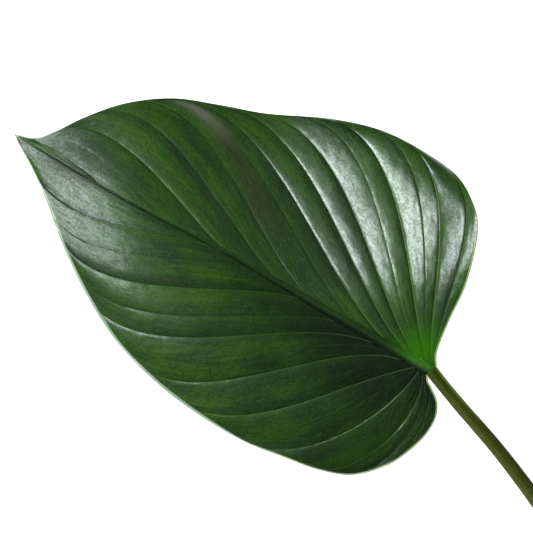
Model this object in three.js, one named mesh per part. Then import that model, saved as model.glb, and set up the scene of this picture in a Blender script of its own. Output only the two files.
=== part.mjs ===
import * as THREE from "three";

// One heart-shaped leaf with its stalk, picked and laid on a level surface, its upper face upward.
// Lengths are in millimetres. The midrib runs along +X to the tip and the left half lies on +Y.

// Blade
const bladeLength = 241.5;
const leftHalfWidth = 77.5;
const rightHalfWidth = 94;
const bladeThickness = 0.95;
const edgeThickness = 0.72;

// Midrib and side veins
const midribRadiusAtBase = 3.3;
const midribRadiusAtTip = 0.4;
const midribGroove = 0.8;
// Height of the pleats for each millimetre of panel width, at even steps from the stalk to the tip
const leftPleat = [0.042, 0.046, 0.046, 0.042, 0.038];
const rightPleat = [0.12, 0.092, 0.072, 0.055, 0.045];
const widestPleat = 13;
const ribHeight = 0.7;
const edgeWave = 0.9;
const wavesPerSide = 6;

// Lie of the blade above the surface, at even steps from its base to its tip
const spineHeights = [7.2, 8.1, 10.1, 13.2, 13.5, 8.1, 2.4];
const leftRise = [-0.046, 0.095, 0.181, 0.17, 0.119, -0.013, -0.222];
const rightRise = [0.342, 0.247, -0.065, -0.293, -0.219, -0.008, 0.143];
const leftDroop = [0.0006, 0.0024, 0.0038, 0.0045, 0.0051, 0.0043, 0.0041];
const rightDroop = [-0.0014, 0.0015, -0.0004, -0.0019, -0.0011, 0.0003, 0.0014];

// Lift of the margin, at even steps from the stalk to the tip
const leftCurl = [0, 0.2, -0.2, -0.2, 0, -0.2, -0.3, -0.2, 0, 0];
const rightCurl = [0, -2.3, -3.6, -3.6, -2.4, -0.5, -0.5, -0.5, -0.3, 0];

// Stalk
const stalkRadiusAtBlade = 3.3;
const stalkRadiusBehindBlade = 2.95;
const stalkRadiusAtCut = 4.1;
const stalkFlutes = 9;
const fluteDepth = 0.08;
const flatSpotDepth = 0.35;
const jointTurn = 13.6;
const jointGap = 0.3;

// Course of the stalk in plan, from the blade to the cut
const stalkCourse = [
  [0, 0],
  [-11.5, 4.6],
  [-24, 9.3],
  [-50, 18.6],
  [-84, 33.6],
  [-122, 54],
  [-160, 78],
];

// Course of the midrib in plan
const midribCourse = [
  [0, 0],
  [60.5, -0.4],
  [121, -1],
  [181, 1.1],
  [241.5, -0.3],
];

// Margins in plan, from beside the stalk round to the tip, for the blade length and widths above
const leftMargin = [
  [-1.2, 5.8],
  [-5, 8.2],
  [-10.5, 13],
  [-13.5, 21.5],
  [-12, 34.5],
  [-4.5, 51.5],
  [8.5, 65],
  [25, 71.5],
  [43.5, 74.5],
  [64.5, 77.5],
  [88, 77.3],
  [115, 74],
  [142.5, 66.5],
  [168, 53.5],
  [190, 38.5],
  [209, 22.5],
  [225, 10.5],
  [235.5, 4],
  [241.5, -0.3],
];
const rightMargin = [
  [2.8, -10],
  [5.2, -25.5],
  [7.5, -47.5],
  [15.5, -72],
  [25, -83.5],
  [38.5, -91.5],
  [60, -94],
  [83, -92.5],
  [106.5, -85.5],
  [135.5, -72],
  [158.5, -64],
  [181, -55],
  [200.5, -41],
  [214.5, -25],
  [224, -11.5],
  [231.5, -3.5],
  [241.5, -0.3],
];

// Side veins from the tip back to the stalk. Root is a share of the midrib, end a share of the margin,
// leave the angle to the midrib in degrees, depth how deep the vein is sunk against its neighbours.
const leftVeins = [
  { root: 1, end: 1, leave: 8, depth: 1 },
  { root: 0.82, end: 0.985, leave: 12, depth: 0.15 },
  { root: 0.67, end: 0.96, leave: 14, depth: 0.17 },
  { root: 0.53, end: 0.928, leave: 15, depth: 1 },
  { root: 0.435, end: 0.872, leave: 14, depth: 0.45 },
  { root: 0.315, end: 0.832, leave: 14, depth: 1 },
  { root: 0.225, end: 0.778, leave: 17, depth: 0.56 },
  { root: 0.14, end: 0.725, leave: 8, depth: 0.82 },
  { root: 0.105, end: 0.665, leave: 10, depth: 0.18 },
  { root: 0.072, end: 0.605, leave: 14, depth: 1 },
  { root: 0.052, end: 0.558, leave: 26, depth: 0.1 },
  { root: 0.036, end: 0.512, leave: 40, depth: 0.93 },
  { root: 0.029, end: 0.446, leave: 62, depth: 0.15 },
  { root: 0.022, end: 0.382, leave: 86, depth: 0.74 },
  { root: 0.012, end: 0.285, leave: 122, depth: 0.52 },
  { root: 0.005, end: 0.17, leave: 150, depth: 0.22 },
];
const rightVeins = [
  { root: 1, end: 1, leave: 9, depth: 1 },
  { root: 0.8, end: 0.982, leave: 13, depth: 0.1 },
  { root: 0.65, end: 0.96, leave: 15, depth: 0.14 },
  { root: 0.51, end: 0.932, leave: 15, depth: 1 },
  { root: 0.385, end: 0.87, leave: 16, depth: 0.66 },
  { root: 0.305, end: 0.81, leave: 16, depth: 0.42 },
  { root: 0.2, end: 0.775, leave: 17, depth: 0.22 },
  { root: 0.126, end: 0.735, leave: 16, depth: 1 },
  { root: 0.072, end: 0.665, leave: 19, depth: 1 },
  { root: 0.05, end: 0.613, leave: 28, depth: 1 },
  { root: 0.036, end: 0.56, leave: 34, depth: 0.25 },
  { root: 0.024, end: 0.518, leave: 45, depth: 1 },
  { root: 0.017, end: 0.45, leave: 51, depth: 0.18 },
  { root: 0.012, end: 0.396, leave: 57, depth: 0.9 },
  { root: 0.007, end: 0.32, leave: 64, depth: 0.6 },
];
const leaveReach = 0.3;
const arriveReach = 0.32;
const arriveAngle = 5;

// Fineness of the faces
const stepsAcrossHalf = 18;
const midribStations = 32;
const midribRows = [0.78, 0.42, 0, -0.42, -0.78];
const stalkStations = 30;
const stalkSides = 36;

const radians = Math.PI / 180;
const jointSkew = Math.tan(jointTurn * radians);

function clamp(value, low, high) {
  return Math.min(Math.max(value, low), high);
}

function mix(a, b, share) {
  return a + (b - a) * share;
}

// Smooth course through evenly counted points, share from 0 to 1
function along(points, share) {
  const last = points.length - 1;
  const place = clamp(share, 0, 1) * last;
  const i = Math.min(Math.floor(place), last - 1);
  const f = place - i;
  const b = points[i];
  const c = points[i + 1];
  const a = i > 0 ? points[i - 1] : b.map((v, n) => 2 * v - c[n]);
  const d = i < last - 1 ? points[i + 2] : c.map((v, n) => 2 * v - b[n]);
  return b.map((v, n) => {
    const linear = (c[n] - a[n]) * f;
    const square = (2 * a[n] - 5 * v + 4 * c[n] - d[n]) * f * f;
    const cube = (3 * v - a[n] - 3 * c[n] + d[n]) * f * f * f;
    return 0.5 * (2 * v + linear + square + cube);
  });
}

function alongValues(values, share) {
  return along(values.map((v) => [v]), share)[0];
}

function scaledPlan(points, lengthScale, widthScale) {
  return points.map(([x, y]) => [x * lengthScale, y * widthScale]);
}

// One half of the blade with the walked length of its margin
function makeHalf(side, margin, veins, lie) {
  const start = [side * midribRadiusAtBase * jointSkew, side * midribRadiusAtBase];
  const points = [start, ...margin];
  const steps = 500;
  const walk = [0];
  let before = along(points, 0);
  for (let i = 1; i <= steps; i += 1) {
    const here = along(points, i / steps);
    walk.push(walk[i - 1] + Math.hypot(here[0] - before[0], here[1] - before[1]));
    before = here;
  }
  return { side, points, veins, ...lie, walk, length: walk[steps] };
}

const tip = midribCourse[midribCourse.length - 1];
const lengthScale = bladeLength / tip[0];
const leftScale = leftHalfWidth / Math.max(...leftMargin.map((p) => p[1]));
const rightScale = rightHalfWidth / Math.max(...rightMargin.map((p) => -p[1]));
const midribPlan = scaledPlan(midribCourse, lengthScale, 1);

function marginPlan(points, widthScale) {
  const plan = scaledPlan(points, lengthScale, widthScale);
  plan[plan.length - 1] = midribPlan[midribPlan.length - 1];
  return plan;
}

const leftLie = { rise: leftRise, droop: leftDroop, pleat: leftPleat, curl: leftCurl };
const rightLie = { rise: rightRise, droop: rightDroop, pleat: rightPleat, curl: rightCurl };
const leftHalf = makeHalf(1, marginPlan(leftMargin, leftScale), leftVeins, leftLie);
const rightHalf = makeHalf(-1, marginPlan(rightMargin, rightScale), rightVeins, rightLie);

function marginPoint(half, share) {
  const wanted = clamp(share, 0, 1) * half.length;
  let low = 0;
  let high = half.walk.length - 1;
  while (high - low > 1) {
    const middle = Math.floor((low + high) / 2);
    if (half.walk[middle] < wanted) low = middle;
    else high = middle;
  }
  const f = (wanted - half.walk[low]) / (half.walk[high] - half.walk[low]);
  return along(half.points, (low + f) / (half.walk.length - 1));
}

function midribHalfWidth(share) {
  const width = mix(midribRadiusAtTip, midribRadiusAtBase, (1 - share) ** 1.6);
  return width * clamp((1 - share) / 0.03, 0, 1);
}

// Point of the midrib's upper face, across from its left edge (1) to its right edge (-1)
function midribPoint(share, across) {
  const middle = along(midribPlan, share);
  const offset = across * midribHalfWidth(share);
  const skew = offset * jointSkew * clamp(1 - share / 0.05, 0, 1);
  return [middle[0] + skew, middle[1] + offset];
}

function veinValue(half, s, name) {
  const k = Math.min(Math.floor(s), half.veins.length - 2);
  return mix(half.veins[k][name], half.veins[k + 1][name], s - k);
}

// Line of the vein family: s counts the veins back from the tip, u runs from midrib to margin
function veinLine(half, s) {
  const root = midribPoint(veinValue(half, s, "root"), half.side);
  const endShare = veinValue(half, s, "end");
  const end = marginPoint(half, endShare);
  const ahead = marginPoint(half, endShare + 0.004);
  const behind = marginPoint(half, endShare - 0.004);
  const leave = veinValue(half, s, "leave") * radians * half.side;
  const turn = half.side * arriveAngle * radians;
  const arrive = Math.atan2(ahead[1] - behind[1], ahead[0] - behind[0]) + turn;
  const chord = Math.hypot(end[0] - root[0], end[1] - root[1]);
  const first = [
    root[0] + leaveReach * chord * Math.cos(leave),
    root[1] + leaveReach * chord * Math.sin(leave),
  ];
  const second = [
    end[0] - arriveReach * chord * Math.cos(arrive),
    end[1] - arriveReach * chord * Math.sin(arrive),
  ];
  return (u) => {
    const v = 1 - u;
    const weights = [v * v * v, 3 * v * v * u, 3 * v * u * u, u * u * u];
    return [0, 1].map((n) => (
      weights[0] * root[n] + weights[1] * first[n] + weights[2] * second[n] + weights[3] * end[n]
    ));
  };
}

// Point in plan; behind the last vein the lines shrink onto the margin beside the stalk
function planPoint(half, s, u) {
  const last = half.veins.length - 1;
  if (s <= last) return veinLine(half, s)(u);
  const line = veinLine(half, last)(u);
  const edge = marginPoint(half, half.veins[last].end * u);
  return [mix(line[0], edge[0], s - last), mix(line[1], edge[1], s - last)];
}

// Width of the panel between two veins, measured square to them
function panelWidth(half, s, u) {
  const step = 0.02;
  const top = half.veins.length;
  const s0 = clamp(s - step, 0, top);
  const s1 = clamp(s + step, 0, top);
  const u0 = clamp(u - step, 0, 1);
  const u1 = clamp(u + step, 0, 1);
  const a = planPoint(half, s0, u);
  const b = planPoint(half, s1, u);
  const c = planPoint(half, s, u0);
  const d = planPoint(half, s, u1);
  const across = [(b[0] - a[0]) / (s1 - s0), (b[1] - a[1]) / (s1 - s0)];
  const down = [d[0] - c[0], d[1] - c[1]];
  const length = Math.max(Math.hypot(down[0], down[1]), 1e-6);
  return Math.abs(across[0] * down[1] - across[1] * down[0]) / length;
}

// Smooth lie of the blade without its pleats
function lieHeight(x, y) {
  const share = x / bladeLength;
  const half = y > 0 ? leftHalf : rightHalf;
  const out = Math.abs(y);
  const rise = alongValues(half.rise, share) * out;
  const droop = alongValues(half.droop, share) * out * out;
  return alongValues(spineHeights, share) + rise - droop;
}

function lieNormal(x, y) {
  const step = 0.5;
  const away = Math.abs(y) < 1 ? (y < 0 ? -1 : 1) : y;
  const dx = (lieHeight(x + step, away) - lieHeight(x - step, away)) / (2 * step);
  const dy = (lieHeight(x, away + step) - lieHeight(x, away - step)) / (2 * step);
  return new THREE.Vector3(-dx, -dy, 1).normalize();
}

function depthOfVein(half, k) {
  return k < half.veins.length ? half.veins[k].depth : 1;
}

// Rise of a pleat between its two veins, flatter toward the margin; it swells on over a faint vein
function pleatHeight(half, s, u, width) {
  const last = half.veins.length - 1;
  const k = Math.min(Math.floor(s), last);
  const f = s - k;
  const strength = alongValues(half.pleat, veinValue(half, Math.min(s, last), "end"));
  const faintBefore = 1 - depthOfVein(half, k);
  const faintAfter = 1 - depthOfVein(half, k + 1);
  const faint = mix(faintBefore, faintAfter, f);
  const crest = (4 * f * (1 - f)) ** 0.8 * (1 - Math.max(faintBefore, faintAfter));
  const swell = 1.5 * (2 * faint - faint * faint) ** 0.8;
  return Math.min(width, widestPleat) * strength * (crest + swell) * (1 - 0.72 * u * u * u);
}

// Waves and curl of the margin, fading inward
function edgeHeight(half, s, u) {
  const share = veinValue(half, Math.min(s, half.veins.length - 1), "end");
  const wave = edgeWave * Math.sin(2 * Math.PI * wavesPerSide * share + half.side) * u ** 5;
  return wave + alongValues(half.curl, share) * u ** 4;
}

// Paired upper and lower points with the faces between them
function makeSheet() {
  return { upper: [], lower: [], faces: [], known: new Map() };
}

function addPair(sheet, upper, lower) {
  const key = upper.slice(0, 2).map((v) => Math.round(v * 500)).join(" ");
  if (sheet.known.has(key)) return sheet.known.get(key);
  sheet.upper.push(upper);
  sheet.lower.push(lower);
  sheet.known.set(key, sheet.upper.length - 1);
  return sheet.upper.length - 1;
}

function addFace(sheet, a, b, c, flip) {
  if (a === b || b === c || a === c) return;
  sheet.faces.push(flip ? [a, c, b] : [a, b, c]);
}

function addHalfPoint(sheet, half, s, u) {
  const [x, y] = planPoint(half, s, u);
  const width = panelWidth(half, s, u);
  const z = lieHeight(x, y) + pleatHeight(half, s, u, width) + edgeHeight(half, s, u);
  const onVein = Math.abs(s - Math.round(s)) < 1e-6 && s < half.veins.length;
  const rib = onVein ? ribHeight * half.veins[Math.round(s)].depth * (1 - 0.6 * u) : 0;
  const thick = mix(bladeThickness, edgeThickness, u ** 6) + rib * clamp(width / 6, 0, 1);
  const normal = lieNormal(x, y);
  const lower = [x - normal.x * thick, y - normal.y * thick, z - normal.z * thick];
  return addPair(sheet, [x, y, z], lower);
}

// Shares of a panel at which its faces are cut, closer in wide panels
function panelCuts(half, k) {
  const last = half.veins.length - 1;
  const span = k < last ? half.veins[k].end - half.veins[k + 1].end : half.veins[last].end;
  const wide = span * half.length;
  if (wide > 20) return [0.12, 0.34, 0.66, 0.88];
  return [0.2, 0.5, 0.8];
}

function halfStations(half) {
  const stations = [];
  for (let k = 0; k < half.veins.length; k += 1) {
    stations.push(k, ...panelCuts(half, k).map((f) => k + f));
  }
  stations.push(half.veins.length);
  return stations;
}

function addHalf(sheet, half) {
  const rows = halfStations(half).map((s) => {
    const row = [];
    for (let j = 0; j <= stepsAcrossHalf; j += 1) {
      row.push(addHalfPoint(sheet, half, s, j / stepsAcrossHalf));
    }
    return row;
  });
  const flip = half.side < 0;
  for (let i = 0; i + 1 < rows.length; i += 1) {
    for (let j = 0; j < stepsAcrossHalf; j += 1) {
      addFace(sheet, rows[i][j], rows[i][j + 1], rows[i + 1][j + 1], flip);
      addFace(sheet, rows[i][j], rows[i + 1][j + 1], rows[i + 1][j], flip);
    }
  }
  return rows.map((row) => row[0]);
}

// The midrib: round where it meets the stalk, sunk above and keeled below further on
function addMidribPoint(sheet, share, across) {
  const [x, y] = midribPoint(share, across);
  const round = Math.sqrt(Math.max(1 - across * across, 0));
  const crown = 2.2 * clamp(1 - share / 0.1, 0, 1) ** 2;
  const groove = midribGroove * clamp(share / 0.06, 0, 1) * clamp((1 - share) * 4, 0, 1);
  const keel = mix(midribRadiusAtTip, 2.8, (1 - share) ** 1.1) * clamp((1 - share) / 0.03, 0, 1);
  const side = alongValues(y > 0 ? leftRise : rightRise, x / bladeLength);
  const level = alongValues(spineHeights, x / bladeLength) + side * Math.abs(across) * midribHalfWidth(share);
  const upper = [x, y, level + crown * round - groove * round * round];
  const lower = [x, y, level - bladeThickness - keel * round];
  return addPair(sheet, upper, lower);
}

// Faces between two courses of points that both run from the tip to the stalk
function joinCourses(sheet, outer, inner, flip) {
  let i = 0;
  let j = 0;
  while (i + 1 < outer.length || j + 1 < inner.length) {
    const outerNext = i + 1 < outer.length ? sheet.upper[outer[i + 1]][0] : -Infinity;
    const innerNext = j + 1 < inner.length ? sheet.upper[inner[j + 1]][0] : -Infinity;
    if (outerNext >= innerNext) {
      addFace(sheet, inner[j], outer[i], outer[i + 1], flip);
      i += 1;
    } else {
      addFace(sheet, inner[j], outer[i], inner[j + 1], flip);
      j += 1;
    }
  }
}

function addMidrib(sheet, leftRoots, rightRoots) {
  const rows = midribRows.map((across) => {
    const row = [];
    for (let i = midribStations; i >= 0; i -= 1) {
      row.push(addMidribPoint(sheet, (i / midribStations) ** 1.5, across));
    }
    return row;
  });
  joinCourses(sheet, leftRoots, rows[0], false);
  for (let n = 0; n + 1 < rows.length; n += 1) {
    joinCourses(sheet, rows[n], rows[n + 1], false);
  }
  joinCourses(sheet, rightRoots, rows[rows.length - 1], true);
}

// Lowest points of the two halves come to rest on the surface together
function layDown(sheet) {
  for (let round = 0; round < 4; round += 1) {
    const low = [1, -1].map((side) => {
      const reach = sheet.lower.filter((p) => p[1] * side > 20);
      return reach.reduce((a, b) => (b[2] < a[2] ? b : a));
    });
    const roll = (low[0][2] - low[1][2]) / (low[0][1] - low[1][1]);
    const drop = low[0][2] - roll * low[0][1];
    for (const p of [...sheet.upper, ...sheet.lower]) {
      p[2] -= drop + roll * p[1];
    }
  }
}

function sheetGeometry(sheet) {
  const count = sheet.upper.length;
  const index = [];
  const edges = new Map();
  for (const [a, b, c] of sheet.faces) {
    index.push(a, b, c, count + a, count + c, count + b);
    for (const [from, to] of [[a, b], [b, c], [c, a]]) {
      edges.set(`${from} ${to}`, [from, to]);
    }
  }
  for (const [from, to] of edges.values()) {
    if (!edges.has(`${to} ${from}`)) {
      index.push(to, from, count + from, to, count + from, count + to);
    }
  }
  return bodyGeometry([...sheet.upper, ...sheet.lower], index);
}

function bodyGeometry(points, index) {
  const geometry = new THREE.BufferGeometry();
  geometry.setAttribute("position", new THREE.Float32BufferAttribute(points.flat(), 3));
  geometry.setIndex(index);
  geometry.computeVertexNormals();
  return geometry;
}

function makeBlade() {
  const sheet = makeSheet();
  const leftRoots = addHalf(sheet, leftHalf);
  const rightRoots = addHalf(sheet, rightHalf);
  addMidrib(sheet, leftRoots, rightRoots);
  layDown(sheet);
  return sheet;
}

function stalkRadius(share) {
  const swell = clamp(share / 0.25, 0, 1);
  const near = mix(stalkRadiusAtBlade, stalkRadiusBehindBlade, swell * (2 - swell));
  return near + (stalkRadiusAtCut - stalkRadiusBehindBlade) * share;
}

// Middle line of the stalk: it sinks from the blade until its far end lies on the surface
function stalkPoint(share, startHeight) {
  const [x, y] = along(stalkCourse, share);
  const endHeight = stalkRadiusAtCut - flatSpotDepth;
  const sink = (1 - clamp(share / 0.86, 0, 1)) ** 1.3;
  const turn = jointTurn * radians;
  const shift = jointGap * (1 - share);
  return new THREE.Vector3(
    x - shift * Math.cos(turn),
    y + shift * Math.sin(turn),
    mix(endHeight, startHeight, sink),
  );
}

function stalkDirection(share, startHeight) {
  const turn = jointTurn * radians;
  if (share === 0) return new THREE.Vector3(-Math.cos(turn), Math.sin(turn), 0);
  const ahead = stalkPoint(Math.min(share + 0.01, 1), startHeight);
  const behind = stalkPoint(Math.max(share - 0.01, 0), startHeight);
  return ahead.sub(behind).normalize();
}

function stalkRing(share, startHeight) {
  const middle = stalkPoint(share, startHeight);
  const direction = stalkDirection(share, startHeight);
  const aside = new THREE.Vector3(0, 0, 1).cross(direction).normalize();
  const upward = direction.clone().cross(aside);
  const ring = [];
  for (let i = 0; i < stalkSides; i += 1) {
    const angle = (i / stalkSides) * 2 * Math.PI;
    const flute = fluteDepth * Math.cos(stalkFlutes * angle) * clamp(share / 0.1, 0, 1);
    const radius = stalkRadius(share) + flute;
    const point = middle.clone();
    point.addScaledVector(aside, radius * Math.cos(angle));
    point.addScaledVector(upward, radius * Math.sin(angle));
    ring.push([point.x, point.y, Math.max(point.z, 0)]);
  }
  return ring;
}

function makeStalk(startHeight) {
  const points = [];
  const index = [];
  for (let n = 0; n <= stalkStations; n += 1) {
    points.push(...stalkRing(n / stalkStations, startHeight));
  }
  for (let n = 0; n < stalkStations; n += 1) {
    for (let i = 0; i < stalkSides; i += 1) {
      const a = n * stalkSides + i;
      const b = n * stalkSides + ((i + 1) % stalkSides);
      const c = b + stalkSides;
      const d = a + stalkSides;
      index.push(a, b, c, a, c, d);
    }
  }
  const nearMiddle = stalkPoint(0, startHeight).toArray();
  const farMiddle = stalkPoint(1, startHeight).toArray();
  points.push(nearMiddle, farMiddle);
  const far = stalkStations * stalkSides;
  for (let i = 0; i < stalkSides; i += 1) {
    const next = (i + 1) % stalkSides;
    index.push(points.length - 2, next, i);
    index.push(points.length - 1, far + i, far + next);
  }
  return bodyGeometry(points, index);
}

// Height of the midrib's middle where the stalk meets it
function jointHeight(sheet) {
  const base = sheet.upper.filter(([x, y]) => Math.hypot(x, y) < midribRadiusAtBase + 0.3);
  const top = Math.max(...base.map((p) => p[2]));
  return top - stalkRadiusAtBlade;
}

function bladeMaterial() {
  return new THREE.MeshStandardMaterial({ name: "leafGreen", color: 0x2c5127, roughness: 0.42, metalness: 0 });
}

function stalkMaterial() {
  return new THREE.MeshStandardMaterial({ name: "stalkOlive", color: 0x6f7c38, roughness: 0.5, metalness: 0 });
}

function makeLeaf() {
  const sheet = makeBlade();
  const blade = new THREE.Mesh(sheetGeometry(sheet), bladeMaterial());
  blade.name = "blade";
  const stalk = new THREE.Mesh(makeStalk(jointHeight(sheet)), stalkMaterial());
  stalk.name = "petiole";
  const leaf = new THREE.Group();
  leaf.name = "homalomena_leaf";
  leaf.add(blade, stalk);
  const box = new THREE.Box3().setFromObject(leaf);
  const middle = box.getCenter(new THREE.Vector3());
  for (const mesh of [blade, stalk]) {
    mesh.geometry.translate(-middle.x, -middle.y, -box.min.z);
  }
  return leaf;
}

export default makeLeaf();
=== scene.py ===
import math
from types import SimpleNamespace

import bpy
import numpy as np
from mathutils import Matrix, Vector


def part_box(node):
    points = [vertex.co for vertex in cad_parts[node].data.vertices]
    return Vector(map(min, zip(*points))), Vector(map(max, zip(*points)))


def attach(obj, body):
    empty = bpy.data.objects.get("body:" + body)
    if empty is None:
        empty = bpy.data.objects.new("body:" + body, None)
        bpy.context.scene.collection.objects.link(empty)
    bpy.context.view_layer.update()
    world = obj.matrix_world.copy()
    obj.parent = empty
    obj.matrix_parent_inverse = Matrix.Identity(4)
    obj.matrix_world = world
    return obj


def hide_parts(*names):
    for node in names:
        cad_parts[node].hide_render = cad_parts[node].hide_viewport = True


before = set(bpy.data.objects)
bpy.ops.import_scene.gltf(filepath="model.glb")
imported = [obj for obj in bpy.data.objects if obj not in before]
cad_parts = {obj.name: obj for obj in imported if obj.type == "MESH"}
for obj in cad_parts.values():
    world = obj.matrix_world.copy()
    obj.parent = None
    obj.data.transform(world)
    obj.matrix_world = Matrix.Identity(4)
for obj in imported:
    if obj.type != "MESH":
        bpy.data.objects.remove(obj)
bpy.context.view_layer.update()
bladeLow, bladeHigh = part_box("blade")
mm = 0.001
print("frame loaded")

# Plan of the blade in millimetres: the midrib runs along +X to the tip, the left half lies on +Y.
plan = {
    "length": 241.5,
    "jointSkew": math.tan(math.radians(13.6)),
    "midribRadius": (3.3, 0.4),  # at the stalk, at the tip
    "midrib": [(0, 0), (60.5, -0.4), (121, -1), (181, 1.1), (241.5, -0.3)],
    "spine": [7.2, 8.1, 10.1, 13.2, 13.5, 8.1, 2.4],  # height of the midrib, evenly from base to tip
    "midribTaper": 1.6,
    "tipTaper": 0.03,  # share of the length over which the midrib runs out
    "skewReach": 0.05,
    "leaveReach": 0.3,  # how far a vein keeps its first and last directions
    "arriveReach": 0.32,
    "arriveAngle": 5,
    "marginSteps": 801,
}

# Each vein: root on the midrib, end on the margin, angle to the midrib, depth against its neighbours
leftHalf = {
    "side": 1,
    "rise": [-0.046, 0.095, 0.181, 0.17, 0.119, -0.013, -0.222],
    "pleat": [0.042, 0.046, 0.046, 0.042, 0.038],  # height per panel width, from stalk to tip
    "curl": [0, 0.2, -0.2, -0.2, 0, -0.2, -0.3, -0.2, 0, 0],  # lift of the margin, from stalk to tip
    "droop": [0.0006, 0.0024, 0.0038, 0.0045, 0.0051, 0.0043, 0.0041],
    "margin": [
        (-1.2, 5.8), (-5, 8.2), (-10.5, 13), (-13.5, 21.5), (-12, 34.5), (-4.5, 51.5), (8.5, 65),
        (25, 71.5), (43.5, 74.5), (64.5, 77.5), (88, 77.3), (115, 74), (142.5, 66.5), (168, 53.5),
        (190, 38.5), (209, 22.5), (225, 10.5), (235.5, 4), (241.5, -0.3),
    ],
    "veins": [
        (1, 1, 8, 1), (0.82, 0.985, 12, 0.15), (0.67, 0.96, 14, 0.17), (0.53, 0.928, 15, 1),
        (0.435, 0.872, 14, 0.45), (0.315, 0.832, 14, 1), (0.225, 0.778, 17, 0.56),
        (0.14, 0.725, 8, 0.82), (0.105, 0.665, 10, 0.18), (0.072, 0.605, 14, 1),
        (0.052, 0.558, 26, 0.1), (0.036, 0.512, 40, 0.93), (0.029, 0.446, 62, 0.15),
        (0.022, 0.382, 86, 0.74), (0.012, 0.285, 122, 0.52), (0.005, 0.17, 150, 0.22),
    ],
}
rightHalf = {
    "side": -1,
    "rise": [0.342, 0.247, -0.065, -0.293, -0.219, -0.008, 0.143],
    "pleat": [0.12, 0.092, 0.072, 0.055, 0.045],
    "curl": [0, -2.3, -3.6, -3.6, -2.4, -0.5, -0.5, -0.5, -0.3, 0],
    "droop": [-0.0014, 0.0015, -0.0004, -0.0019, -0.0011, 0.0003, 0.0014],
    "margin": [
        (2.8, -10), (5.2, -25.5), (7.5, -47.5), (15.5, -72), (25, -83.5), (38.5, -91.5), (60, -94),
        (83, -92.5), (106.5, -85.5), (135.5, -72), (158.5, -64), (181, -55), (200.5, -41),
        (214.5, -25), (224, -11.5), (231.5, -3.5), (241.5, -0.3),
    ],
    "veins": [
        (1, 1, 9, 1), (0.8, 0.982, 13, 0.1), (0.65, 0.96, 15, 0.14), (0.51, 0.932, 15, 1),
        (0.385, 0.87, 16, 0.66), (0.305, 0.81, 16, 0.42), (0.2, 0.775, 17, 0.22),
        (0.126, 0.735, 16, 1), (0.072, 0.665, 19, 1), (0.05, 0.613, 28, 1), (0.036, 0.56, 34, 0.25),
        (0.024, 0.518, 45, 1), (0.017, 0.45, 51, 0.18), (0.012, 0.396, 57, 0.9),
        (0.007, 0.32, 64, 0.6),
    ],
}


def along(points, share):
    # smooth course through evenly counted points, share from 0 to 1
    p = np.array(points, float)
    if p.ndim == 1:
        p = p[:, None]
    p = np.vstack([2 * p[0] - p[1], p, 2 * p[-1] - p[-2]])
    last = len(p) - 3
    place = np.clip(np.asarray(share, float), 0, 1) * last
    i = np.minimum(place.astype(int), last - 1)
    f = (place - i)[..., None]
    a, b, c, d = p[i], p[i + 1], p[i + 2], p[i + 3]
    cube = (3 * b - a - 3 * c + d) * f ** 3
    course = 0.5 * (2 * b + (c - a) * f + (2 * a - 5 * b + 4 * c - d) * f ** 2 + cube)
    return course[..., 0] if course.shape[-1] == 1 else course


def smooth(value, low, high):
    share = np.clip((value - low) / (high - low), 0, 1)
    return share * share * (3 - 2 * share)


def walkMargin(half):
    # the margin starts beside the stalk; its walked length gives even shares
    beside = half["side"] * plan["midribRadius"][0]
    half["points"] = [(beside * plan["jointSkew"], beside)] + half["margin"]
    half["steps"] = np.linspace(0, 1, plan["marginSteps"])
    course = along(half["points"], half["steps"])
    parts = np.hypot(*np.diff(course, axis=0).T)
    half["walk"] = np.concatenate([[0], np.cumsum(parts)]) / parts.sum()
    half["marginLength"] = parts.sum()
    half["table"] = np.array(half["veins"], float)


def marginPoint(half, share):
    return along(half["points"], np.interp(np.clip(share, 0, 1), half["walk"], half["steps"]))


def midribHalfWidth(share):
    wide, thin = plan["midribRadius"]
    width = thin + (wide - thin) * (1 - share) ** plan["midribTaper"]
    return width * np.clip((1 - share) / plan["tipTaper"], 0, 1)


def midribPoint(share, across):
    # across runs from the midrib's left edge (1) to its right edge (-1)
    share = np.asarray(share, float)
    middle = along(plan["midrib"], share)
    offset = across * midribHalfWidth(share)
    skew = offset * plan["jointSkew"] * np.clip(1 - share / plan["skewReach"], 0, 1)
    return np.stack([middle[..., 0] + skew, middle[..., 1] + offset], -1)


def veinValue(half, s, column):
    return np.interp(s, np.arange(len(half["table"])), half["table"][:, column])


def veinLine(half, s, u):
    # s counts the veins from the tip's to the one beside the stalk, u runs from midrib to margin
    root = midribPoint(veinValue(half, s, 0), half["side"])
    share, step = veinValue(half, s, 1), 0.004
    end = marginPoint(half, share)
    tangent = marginPoint(half, share + step) - marginPoint(half, share - step)
    leave = np.radians(veinValue(half, s, 2)) * half["side"]
    arrive = half["side"] * math.radians(plan["arriveAngle"])
    arrive = arrive + np.arctan2(tangent[..., 1], tangent[..., 0])
    chord = np.hypot(*np.moveaxis(end - root, -1, 0))[..., None]
    first = root + plan["leaveReach"] * chord * np.stack([np.cos(leave), np.sin(leave)], -1)
    second = end - plan["arriveReach"] * chord * np.stack([np.cos(arrive), np.sin(arrive)], -1)
    u = np.asarray(u, float)[..., None]
    v = 1 - u
    return v ** 3 * root + 3 * v * v * u * first + 3 * v * u * u * second + u ** 3 * end


def planPoint(half, s, u):
    # behind the last vein the lines shrink onto the margin beside the stalk
    last = len(half["table"]) - 1
    line = veinLine(half, np.minimum(s, last), u)
    edge = marginPoint(half, half["table"][last, 1] * u)
    share = np.clip(s - last, 0, 1)[..., None]
    return line + (edge - line) * share


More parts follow.
